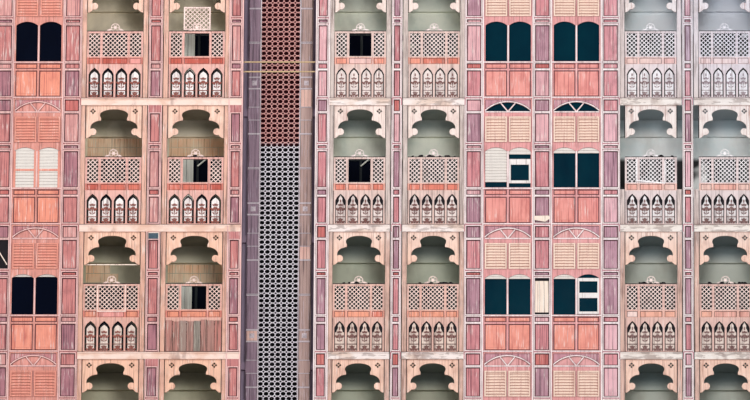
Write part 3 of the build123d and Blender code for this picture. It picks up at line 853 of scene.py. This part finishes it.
# Raised boards in the pockets of the strips, with a groove around each whose floor the strips' paint darkens
# with painted shade
PANELS = [(0.04, 0.7), (0.745, 0.88), (SILL, WINDOW_SPRING), (1.915, 2.0), (LEAF_FOOT, 2.81)]
FRIEZE = (2.86, 3.16)
LOW_PANEL = 0.4
POCKET = (0.03, 0.034)
RAISED = (0.018, 0.029)
GROOVE = 0.024
BEAD_BACK = STRIP_FRONT + 0.001
BEAD = zoned_paint("bead_paint", 0xf4c6c0, 0xfceae8, 0xfef2f0, 0x825658, 0.4, None, 0.5)
PATCH = plain_paint("patch_paint", 0xfceede, 0xf4dac8, 0xfef8f0, 0x967064, 0.6)
STRIP_PAINTS = {
    "rose": zoned_paint("rose_board", 0xd08682, 0xd68e92, 0xde989e, 0x703840, 0.7),
    "mauve": zoned_paint("mauve_board", 0xb27a82, 0xb88a96, 0xc498a6, 0x5c3c4a, 0.7),
    "pink": zoned_paint("pink_board", 0xdea09a, 0xe6b0b4, 0xecbcc4, 0x86525a, 0.65),
    "red": plain_paint("red_board", 0xd67c74, 0xbc6664, 0xf0b8ae, 0x5c2c2e, 0.55, (34, 34, 1.6)),
}


def strip_edges():
    """The panelled strips: their two edges, and whether they run on past the slab's edge."""
    rows = [(left, right, True) for kind, left, right in SPANS if kind == "strip"]
    piers = [(left, right) for kind, left, right in SPANS if kind == "pier"]
    rows += [(*piers[0], False), (*piers[1], True)]
    for number in range(0, len(BAYS), 2):
        reach = BAYS[number][1] / 2 + POST + MULLION_GAP
        rows.append((BAYS[number][0] + reach, BAYS[number + 1][0] - reach, number > 0))
    return sorted(rows)


STRIPS = strip_edges()
# The strip's left edge, storey and panel of a board that is gone, and of one that is patched in cream
LOST = (STRIPS[0][0], 1, 4)
PATCHED = (STRIPS[7][0], 1, 2)

boards = {kind: Heap() for kind in STRIP_PAINTS}
beads, shade_pockets, patches = Heap(), Heap(), Heap()
for storey, base in enumerate(FLOORS):
    for left, right, full in STRIPS:
        weights = (9, 7, 3, 0) if left < SHAFT_LEFT else (9, 6, 5, 0)
        for number, (foot, top) in enumerate(PANELS + ([FRIEZE] if full else [])):
            pocket = (left + STILE, right - STILE, base + foot, base + top)
            add_frame(beads, *pocket, 0.022, 0.004, BEAD_BACK)
            board = inset(*pocket, GROOVE)
            if (left, storey, number) == LOST:
                # A board that is gone: painted shade fills its pocket, and a cream bar lies across it
                shade_pockets.block(*pocket, *POCKET)
                patches.bar((board[0], board[3] - 0.1), (board[1], board[3] - 0.6), 0.025, *RAISED)
            elif (left, storey, number) == PATCHED:
                # A patched board: painted shade fills its pocket behind cream planks
                shade_pockets.block(*pocket, *POCKET)
                edges = (pocket[0] + 0.005, pocket[1] - 0.015, board[2] + 0.03, board[3] - 0.05)
                add_planks(patches, *edges, *RAISED, 0.12)
            else:
                kind = random.choices(list(boards), weights)[0]
                if top - foot < LOW_PANEL and random.random() < 0.2:
                    kind = "red"
                add_planks(boards[kind], *board, 0.025, POCKET[1])
for kind, paint in STRIP_PAINTS.items():
    boards[kind].build(f"strip_boards_{kind}", paint, "rose_wood_paint")

# Aprons, spandrels, fanlights and leaf frames of the window bays
LIGHT_WIDTH = (WINDOW_BAY - 3 * STILE) / 2
LIGHT_REACH = (LIGHT_WIDTH + STILE) / 2
MIDDLES = [x + side * LIGHT_REACH for x in WINDOWS for side in (-1, 1)]
LIGHTS = [(x - LIGHT_WIDTH / 2, x + LIGHT_WIDTH / 2) for x in MIDDLES]
LEAF_FRAME = 0.034
FAN_REACH = WINDOW_BAY / 2 - STILE
FAN_RISE = 0.23
FAN_RADIUS = (FAN_REACH**2 + FAN_RISE**2) / (2 * FAN_RISE)
FAN_BAR = 0.03
FAN_GAP = 0.012
FAN_RAY = (0.172, 0.204)
OPEN_FANLIGHTS = [(2, 1), (2, 2)]
SUNK = (0.027, 0.035)
MOULDING = (0.008, 0.021)
SEAM = (0.034, 0.06)
SPANDREL = zoned_paint("spandrel_board", 0xcc888a, 0xca929c, 0xd09ea8, 0x603842, 0.75)
FAN = zoned_paint("fanlight_board", 0xe69e92, 0xe4a6a4, 0xeab4b4, 0x8c4c4e, 0.55)
APRON = zoned_paint("apron_board", 0xf09a82, 0xec9e94, 0xea9a98, 0xb2504e, 0.65, 0xf29e88)


def fan_arc(x, base, radius, reach, sides=14):
    """Points along the fanlight's arch from left to right."""
    middle = base + FRIEZE[0] + FAN_RISE - FAN_RADIUS
    swing = math.asin(reach / radius)
    turns = [swing * (2 * n / sides - 1) for n in range(sides + 1)]
    return [(x + radius * math.sin(t), middle + radius * math.cos(t)) for t in turns]


aprons, spandrels, fans, leaves, shadow_seams = Heap(), Heap(), Heap(), Heap(), Heap()


def trim_light(left, right, base):
    """The apron boards and the leaf's frame of one window light."""
    for foot, top in PANELS[:2]:
        board = inset(left, right, base + foot, base + top, GROOVE)
        aprons.block(*board, *SUNK)
        border = 0.022 if top - foot < LOW_PANEL else 0.05
        aprons.block(*inset(*board, border), 0.022, 0.026)
    opening = inset(left, right, base + LEAF_FOOT, base + LEAF_TOP, LEAF_FRAME)
    add_frame(leaves, *opening, LEAF_FRAME, 0.001, 0.009)


def trim_fanlight(x, base, closed):
    """The fanlight of a window bay: its spandrels, arch, foot and rays, and its board if it's closed."""
    foot = base + FRIEZE[0]
    rim = fan_arc(x, base, FAN_RADIUS + FAN_BAR + FAN_GAP, FAN_REACH - FAN_GAP)
    top = base + FRIEZE[1] - FAN_GAP
    spandrels.prism(rim + [(rim[-1][0], top), (rim[0][0], top)], *SUNK)
    if closed:
        pane = fan_arc(x, base, FAN_RADIUS - 0.004, FAN_REACH - 0.006)
        fans.prism(pane[::-1], 0.036, 0.048)
    outer = fan_arc(x, base, FAN_RADIUS + FAN_BAR, FAN_REACH + 0.01)
    inner = fan_arc(x, base, FAN_RADIUS + 0.004, FAN_REACH)
    beads.prism(inner + outer[::-1], *MOULDING)
    beads.about(x, FAN_REACH, foot - FAN_BAR, foot, *MOULDING)
    for side in (-1, 1):
        end = (x + side * FAN_RAY[0], foot + FAN_RAY[1])
        beads.bar((x + side * 0.01, foot), end, 0.026, 0.012, 0.021)


for storey, base in enumerate(FLOORS):
    for left, right in LIGHTS:
        trim_light(left, right, base)
    for number, x in enumerate(WINDOWS):
        fans.about(x, 0.008, base + LEAF_FOOT, base + LEAF_TOP, 0.012, 0.019)
        for foot in (base, base + SILL - 0.04):
            beads.about(x, WINDOW_BAY / 2, foot, foot + 0.028, 0.004, 0.021)
        trim_fanlight(x, base, (storey, number) not in OPEN_FANLIGHTS)

# Upright beads on the strips and windows, and seams of painted shadow around the arch panels and balustrades
for kind, left, right in SPANS:
    if kind in ("window", "pier"):
        for x in (left, right):
            beads.about(x, 0.014, SLAB + 0.01, FACADE_TOP, 0.002, 0.022)
for base in FLOORS:
    top = base + CLEAR
    for left, right in (strip[:2] for strip in STRIPS):
        for x in (left + 0.011, right - 0.011):
            beads.about(x, 0.009, base + 0.002, top - 0.002, 0.006, BEAD_BACK)
    for x in WINDOWS:
        beads.about(x, 0.018, base + SILL, base + WINDOW_SPRING, 0.01, 0.021)
    for x, bay in BAYS:
        rail = base + BALUSTRADE_HEIGHT
        shadow_seams.about(x, bay / 2 - 0.012, rail, rail + 0.015, 0.045, 0.1)
        for edge in (x - bay / 2 + 0.004, x + bay / 2 - 0.004):
            shadow_seams.about(edge, 0.009, top - ARCH_PANEL, top - 0.005, *SEAM)
            shadow_seams.about(edge, 0.009, base + 0.01, base + 0.86, *SEAM)
aprons.build("apron_boards", APRON, "orange_wood_paint")
spandrels.build("spandrel_boards", SPANDREL, "rose_wood_paint")
fans.build("fanlight_boards", FAN, "rose_wood_paint")
leaves.build("leaf_frames", LOUVRE, "cream_wood_paint")
beads.build("panel_beads", BEAD, "white_wood_paint")

# Boards in the frieze pockets of the balustrades, and crosses in the piercings of the arches, whose
# places above the arch panel's foot and shares of the bay are those of the CAD model
FRIEZE_POCKET = (0.883, 1.03)
FRIEZE_GAP = 0.01
PIERCING_REACH = 0.37
PIERCING_HEIGHT = 0.68
CROSS_REACH = 0.04
CROWN_MIDDLE = 0.592
CROWN_HALF = 0.14
CROWN_REACH = 0.248
FILLET_SIDES = 12
FRIEZE_PAINTS = {
    "red": zoned_paint("frieze_red", 0xc86254, 0xe48470, 0xecb0a2, 0x783c34),
    "salmon": zoned_paint("frieze_salmon", 0xda7664, 0xf09e88, 0xf4cec2, 0x8e4a40, 0.5, 0xf2a688),
    "pink": zoned_paint("frieze_pink", 0xeea098, 0xf0c4bc, 0xf8dcd4, 0x8e5a54),
}


def add_fillet(heap, x, z, bay, side):
    """Rounds one upper shoulder of the arch's crown from a half circle to half an oval."""
    reach, radius = CROWN_REACH * bay, CROWN_HALF + 0.012
    turns = [math.radians(4 + 80 * n / FILLET_SIDES) for n in range(FILLET_SIDES + 1)]
    oval = [(reach * math.cos(t), CROWN_HALF * math.sin(t)) for t in turns]
    end = reach - CROWN_HALF
    shoulder = [(end + radius * math.cos(t), radius * math.sin(t)) for t in turns]
    outline = [(x + side * across, z + up) for across, up in shoulder[:-1] + oval[::-1]]
    heap.prism(outline[::side], 0.0494, 0.079)


def add_cross(heap, x, z):
    """Two thin crossed bars with a boss on the crossing."""
    low, high = z - CROSS_REACH, z + CROSS_REACH
    heap.bar((x - CROSS_REACH, low), (x + CROSS_REACH, high), 0.013, 0.054, 0.064)
    heap.bar((x - CROSS_REACH, high), (x + CROSS_REACH, low), 0.013, 0.056, 0.066)
    heap.oval(x, z, 0.013, 0.013, 0.0, 0.052, 0.062, 8)


friezes = {kind: Heap() for kind in FRIEZE_PAINTS}
crosses = Heap()
for storey, base in enumerate(FLOORS):
    for x, bay in BAYS:
        weights = (4, 5, 1) if x < SHAFT_LEFT else (4, 5, 2)
        if storey == 1:
            weights = (1, 7, 1)
        for left, right in lattice_spans(x, bay):
            kind = random.choices(list(friezes), weights)[0]
            board = inset(left, right, base + FRIEZE_POCKET[0], base + FRIEZE_POCKET[1], FRIEZE_GAP)
            friezes[kind].block(*board, 0.06, 0.069)
        foot = base + CLEAR - ARCH_PANEL
        for side in (-1, 1):
            add_cross(crosses, x + side * PIERCING_REACH * bay, foot + PIERCING_HEIGHT)
            add_fillet(crosses, x, foot + CROWN_MIDDLE, bay, side)
for kind, paint in FRIEZE_PAINTS.items():
    friezes[kind].build(f"frieze_boards_{kind}", paint, "orange_wood_paint")
crosses.build("arch_trims", ARCH, "cream_wood_paint")

# Raised panels, beads and pyramid bosses on the shaft's piers. PALE_PANELS has side, storey and panel
SHAFT_PANELS = [(0.06, 0.47), (0.54, 0.76), (0.83, 1.64), (1.72, 2.52), (2.59, 2.88)]
PALE_PANELS = [(1, 3, 0), (1, 1, 4), (-1, 1, 1)]
BOARD_HALF = 0.128
BEAD_HALF = 0.136
SEAM_REACH = 0.135
BOSS_PANEL = 1
BOSS_HALF = 0.062
BOSS_TIP = 0.15
SHAFT_BACK = SHAFT_RECESS + 0.001
PIER_BEAD = plain_paint("pier_bead", 0xe4d8da, 0xc6b6bc, 0xe2d6e0, 0x463a46, 0.4)
PIER_PATCH = plain_paint("pier_patch", 0xf4cebe, 0xe2b0a4, 0xfae6dc, 0x8c605c, 0.4)


def add_boss(heap, x, z):
    """A square boss whose front is drawn in to a small square."""
    start = len(heap.points)
    heap.about(x, BOSS_HALF, z - BOSS_HALF, z + BOSS_HALF, SHAFT_RECESS - 0.034, SHAFT_RECESS - 0.004)
    for corner in range(start, start + 4):
        across, depth, up = heap.points[corner]
        heap.points[corner] = (x + (across - x) * BOSS_TIP, depth, z + (up - z) * BOSS_TIP)


pier_boards, pier_beads, pier_patches = Heap(), Heap(), Heap()
for side in (-1, 1):
    middle = SHAFT_MIDDLE + side * (CLAUSTRA + SHAFT_STRIP) / 2
    for storey, base in enumerate(FLOORS):
        # Painted shadow seams along both edges of the pier's boards
        for edge in (middle - SEAM_REACH, middle + SEAM_REACH):
            shadow_seams.about(edge, 0.006, base + 0.01, base + CLEAR - 0.08, SHAFT_RECESS - 0.002, SHAFT_BACK)
        for number, (foot, top) in enumerate(SHAFT_PANELS):
            heap = pier_patches if (side, storey, number) in PALE_PANELS else pier_boards
            edges = (middle - BOARD_HALF, middle + BOARD_HALF, base + foot - 0.012, base + top + 0.012)
            add_planks(heap, *edges, SHAFT_RECESS - 0.006, SHAFT_BACK)
            for z in (base + foot - 0.034, base + top + 0.016):
                pier_beads.about(middle, BEAD_HALF, z, z + 0.018, SHAFT_RECESS - 0.009, SHAFT_BACK)
            if number == BOSS_PANEL:
                add_boss(pier_beads, middle, base + (foot + top) / 2)
    edge = SHAFT_MIDDLE + side * CLAUSTRA / 2
    pier_beads.about(edge, 0.014, SLAB, FACADE_TOP, SHAFT_RECESS - 0.012, SHAFT_BACK)
pier_boards.build("pier_boards", PIER, "dark_pier")
pier_beads.build("pier_beads", PIER_BEAD, "dark_pier")
pier_patches.build("pier_patches", PIER_PATCH, "plaster")

# Blinds: for each storey, how far above the sill they hang, by window light from the left
BLINDS = {2: [0.0, 0.0, 0.14, 0.84, 0.87, 0.87], 1: [0.95, 0.95, 0.9, 0.9, 0.9]}
BLIND_TOP = 1.01
SLAT = 0.075
BLIND = plain_paint("blind_paint", 0xf8eee4, 0xd0c8c2, 0xfcf8f4, 0x96827e, 0.12, (5, 5, 60))


def add_slat(heap, left, right, foot, top):
    """One slat, whose foot stands forward."""
    start = len(heap.points)
    heap.block(left, right, foot, top, 0.036, 0.05)
    for corner in (start, start + 1):
        x, y, z = heap.points[corner]
        heap.points[corner] = (x, y - 0.01, z)


blinds = Heap()
for storey, feet in BLINDS.items():
    for light, foot in zip(LIGHTS, feet):
        low = FLOORS[storey] + SILL + foot
        count = max(2, round((BLIND_TOP - foot) / SLAT))
        step = (BLIND_TOP - foot) / count
        for n in range(count):
            add_slat(blinds, *light, low + n * step, low + n * step + step)
blinds.build("window_blinds", BLIND, "cream_wood_paint")

# Sashes: storey, window light, and foot and top of each rail above the sill
SASHES = [(2, 3, [(0.11, 0.18), (0.58, 0.72)]), (1, 5, [(0.02, 0.08), (0.42, 0.55), (0.84, 0.92)])]
SASH = plain_paint("sash_paint", 0xfaf4f0, 0xe6dcd8, 0xfefaf6, 0x8c7c78, 0.4)


def add_sash(heap, light, base, stile, foot, top, rails, front, back):
    """Two stiles at the edges of a light, and rails between them."""
    left, right = LIGHTS[light]
    for x in (left, right - stile):
        heap.block(x, x + stile, base + foot, base + top, front, back)
    for low, high in rails:
        heap.block(left + stile, right - stile, base + low, base + high, front, back)


sashes = Heap()
for storey, light, rails in SASHES:
    add_sash(sashes, light, FLOORS[storey] + SILL, 0.045, rails[0][0], rails[-1][1], rails, 0.03, 0.046)
sashes.build("window_sashes", SASH, "white_wood_paint")

# Frames over the blinds in the left window bay
blind_rails = Heap()
for light in (0, 1):
    add_sash(blind_rails, light, FLOORS[2] + SILL, 0.04, 0, 0.92, [(0.42, 0.47)], 0.022, 0.03)
blind_rails.build("blind_rails", LOUVRE, "cream_wood_paint")

# Damage and makeshift repairs, each set where the photograph shows it. First the boarded balustrade
PLANKS = 8


def weathered_paint(start, pitch):
    """Grey and red planks, streaked with grime."""
    paint = Paint("weathered_board")
    pick = paint.cell((1 / pitch, 0.001, 0.001), (-start / pitch, 0.5, 0.5))
    colour = paint.mix(pick, 0x94887e, 0xce7c72)
    return paint.finish(paint.wear(colour, 0xcec8ba, 0x4c463e, 0.85))


repairs = Heap()
x, bay = BAYS[1]
base = FLOORS[1]
start = x - bay / 2 + 0.02
pitch = (bay - 0.04) / PLANKS
for n in range(PLANKS):
    left, top = start + n * pitch, base + 0.81 - random.uniform(0, 0.05)
    repairs.block(left + 0.007, left + pitch - 0.007, base + 0.02, top, 0.036, 0.048)
repairs.build("repair_planks", weathered_paint(start, pitch), "rose_wood_paint")

# A lattice that hangs in an arch, a frame set before another, and the bars that are left of a third
HUNG_HALF = 0.29
FRAME_HALF = 0.32
BARS = [
    ((-0.34, 1.12), (0.34, 1.05), 0.045),
    ((-0.34, 1.1), (-0.34, 1.66), 0.046),
    ((0.34, 1.05), (0.34, 1.6), 0.046),
]
hung = Heap()
foot = FLOORS[3] + 1.78
panel = (x - HUNG_HALF, x + HUNG_HALF, foot, foot + 0.52)
add_frame(hung, *panel, 0.035, 0.06, 0.09)
add_laths(hung, *panel)
x, foot = BAYS[0][0], FLOORS[1] + 1.04
add_frame(hung, x - FRAME_HALF, x + FRAME_HALF, foot, foot + 0.62, 0.03, 0.045, 0.06)
x, base = BAYS[4][0], FLOORS[2]
for start, end, front in BARS:
    hung.bar((x + start[0], base + start[1]), (x + end[0], base + end[1]), 0.03, front, front + 0.015)
hung.build("hung_lattice", LATTICE, "white_wood_paint")

# A round filigree crest on the middle of each rail, with a leaf on each side
CREST_RADIUS = 0.1
CREST_SIDES = 12
LEAF_REACH = 0.15
crests = Heap()
for base in FLOORS:
    z = base + BALUSTRADE_HEIGHT + CREST_RADIUS
    for x, bay in BAYS:
        rim = ring(x, z, CREST_RADIUS, CREST_RADIUS, 0.0, CREST_SIDES)
        for n in range(CREST_SIDES):
            crests.bar(rim[n], rim[(n + 1) % CREST_SIDES], 0.016, 0.064, 0.078)
        for n in range(0, CREST_SIDES // 2, 2):
            front = 0.065 + n * 0.001
            crests.bar(rim[n], rim[n + CREST_SIDES // 2], 0.012, front, front + 0.01)
        crests.oval(x, z, 0.04, 0.04, 0.0, 0.062, 0.08, 10)
        for side in (-1, 1):
            crests.oval(x + side * LEAF_REACH, z - 0.062, 0.06, 0.024, -side * 0.3, 0.064, 0.078, 10)
crests.build("rail_crests", LATTICE, "white_wood_paint")

# Dry leaves and rubble on the rails: storey, bay and how much
RUBBLE = [(2, 3, 16), (1, 2, 6), (1, 3, 12), (2, 4, 10), (1, 4, 10), (1, 5, 14), (2, 1, 4)]
rubble = Heap()
for storey, number, count in RUBBLE:
    x, bay = BAYS[number]
    rail = FLOORS[storey] + BALUSTRADE_HEIGHT + 0.012
    for n in range(count):
        place = x + random.uniform(-0.42, 0.42) * bay
        size = random.uniform(0.02, 0.045)
        front = random.uniform(0.055, 0.07)
        turn = random.uniform(-0.5, 0.5)
        rubble.oval(place, rail + size * 0.45, size * 1.4, size * 0.75, turn, front, front + 0.02, 7)
rubble.build("rail_rubble", SHADE_AND_RUBBLE_BLACK, "concrete")

# A small pane in the frieze of the left strip of the wide loggia
PANE = plain_paint("pane_blue", 0x566874, 0x344250, 0x8c989c, 0x181c22)
left, right = STRIPS[2][:2]
z = FLOORS[1] + 2.83
opening = (left + STILE, right - STILE, z, z + 0.15)
pane = Heap()
pane.block(*opening, 0.01, BEAD_BACK)
add_frame(patches, *opening, 0.018, 0.006, BEAD_BACK)
pane.build("mullion_pane", PANE, "dark_glass")

# A rod under the first arch, and a torn sheet on a strip: points as shares of its half width and heights
SHEET = [(-1, 0.02), (0.4, -0.03), (1, 0.06), (0.8, 0.13), (-1, 0.12)]
patches.about(BAYS[0][0], 0.66, FLOORS[1] + 2.2, FLOORS[1] + 2.225, 0.1, 0.125)
x, half = STRIPS[7][0] + WIDE_STRIP / 2, WIDE_STRIP / 2 - 0.03
z = FLOORS[2] + 0.09
patches.prism([(x + half * across, z + up) for across, up in SHEET], 0.001, 0.004)
patches.build("pale_patches", PATCH, "cream_wood_paint")
# The pockets filled with painted shade
shade_pockets.build("painted_shade_pockets", SHADE_AND_RUBBLE_BLACK, "rose_wood_paint")
# The seams of painted shadow
shadow_seams.build("painted_shadow_seams", SHADE_AND_RUBBLE_BLACK, "rose_wood_paint")

# Bare blocks where the plaster has fallen from the loggias' rear walls
WALL_FACE = DEPTH - 0.2
BLOCK_PITCH = 0.4
BLOCK_LENGTH = 0.388
ROW_PITCH = 0.232
BLOCK_HEIGHT = 0.218
BARE = plain_paint("bare_blocks", 0xffb076, 0xece8cc, 0xfef0dc, 0x8c4e32, 0.6, (2.2, 2.2, 2.2), 0.6)


def add_blocks(heap, x, bay, foot, row, whole):
    """One row of blocks across a bay, or of its left half if it isn't whole."""
    for n in range(5):
        start = x - bay / 2 - 0.2 * row + BLOCK_PITCH * n
        left, right = max(start, x - bay / 2), min(start + BLOCK_LENGTH, x + bay / 2)
        if right - left > 0.05 and (whole or left < x - 0.1 * row):
            heap.block(left, right, foot, foot + BLOCK_HEIGHT, WALL_FACE - 0.014, WALL_FACE)


bare = Heap()
for storey in (1, 2):
    for number, (x, bay) in enumerate(BAYS[:2]):
        for row in range(2):
            foot = FLOORS[storey] + 2.13 + ROW_PITCH * row
            add_blocks(bare, x, bay, foot, row, number == 1 or storey == 2)
bare.build("bare_wall_blocks", BARE, "concrete")

# Door leaves on the rear walls, and a brace over two of the doors
DOOR_LEAF = plain_paint("door_leaf", 0xfaf6ea, 0xe2e4d6, 0xfcfcf6, 0xa08c74)
door_leaves = Heap()
x = BAYS[1][0]
for base in FLOORS:
    for left in (-0.43, -0.26):
        edges = (x + left, x + left + 0.16, base + 0.02, base + 2.09)
        door_leaves.block(*edges, WALL_FACE - 0.03, WALL_FACE + 0.01)
for number in (1, 2):
    x, base = BAYS[number][0], FLOORS[2]
    door_leaves.bar((x, base + 1.88), (x + 0.24, base + 2.09), 0.03, WALL_FACE - 0.02, WALL_FACE + 0.01)
door_leaves.build("door_leaves", DOOR_LEAF, "door_metal")

bpy.context.scene.view_settings.view_transform = "Standard"
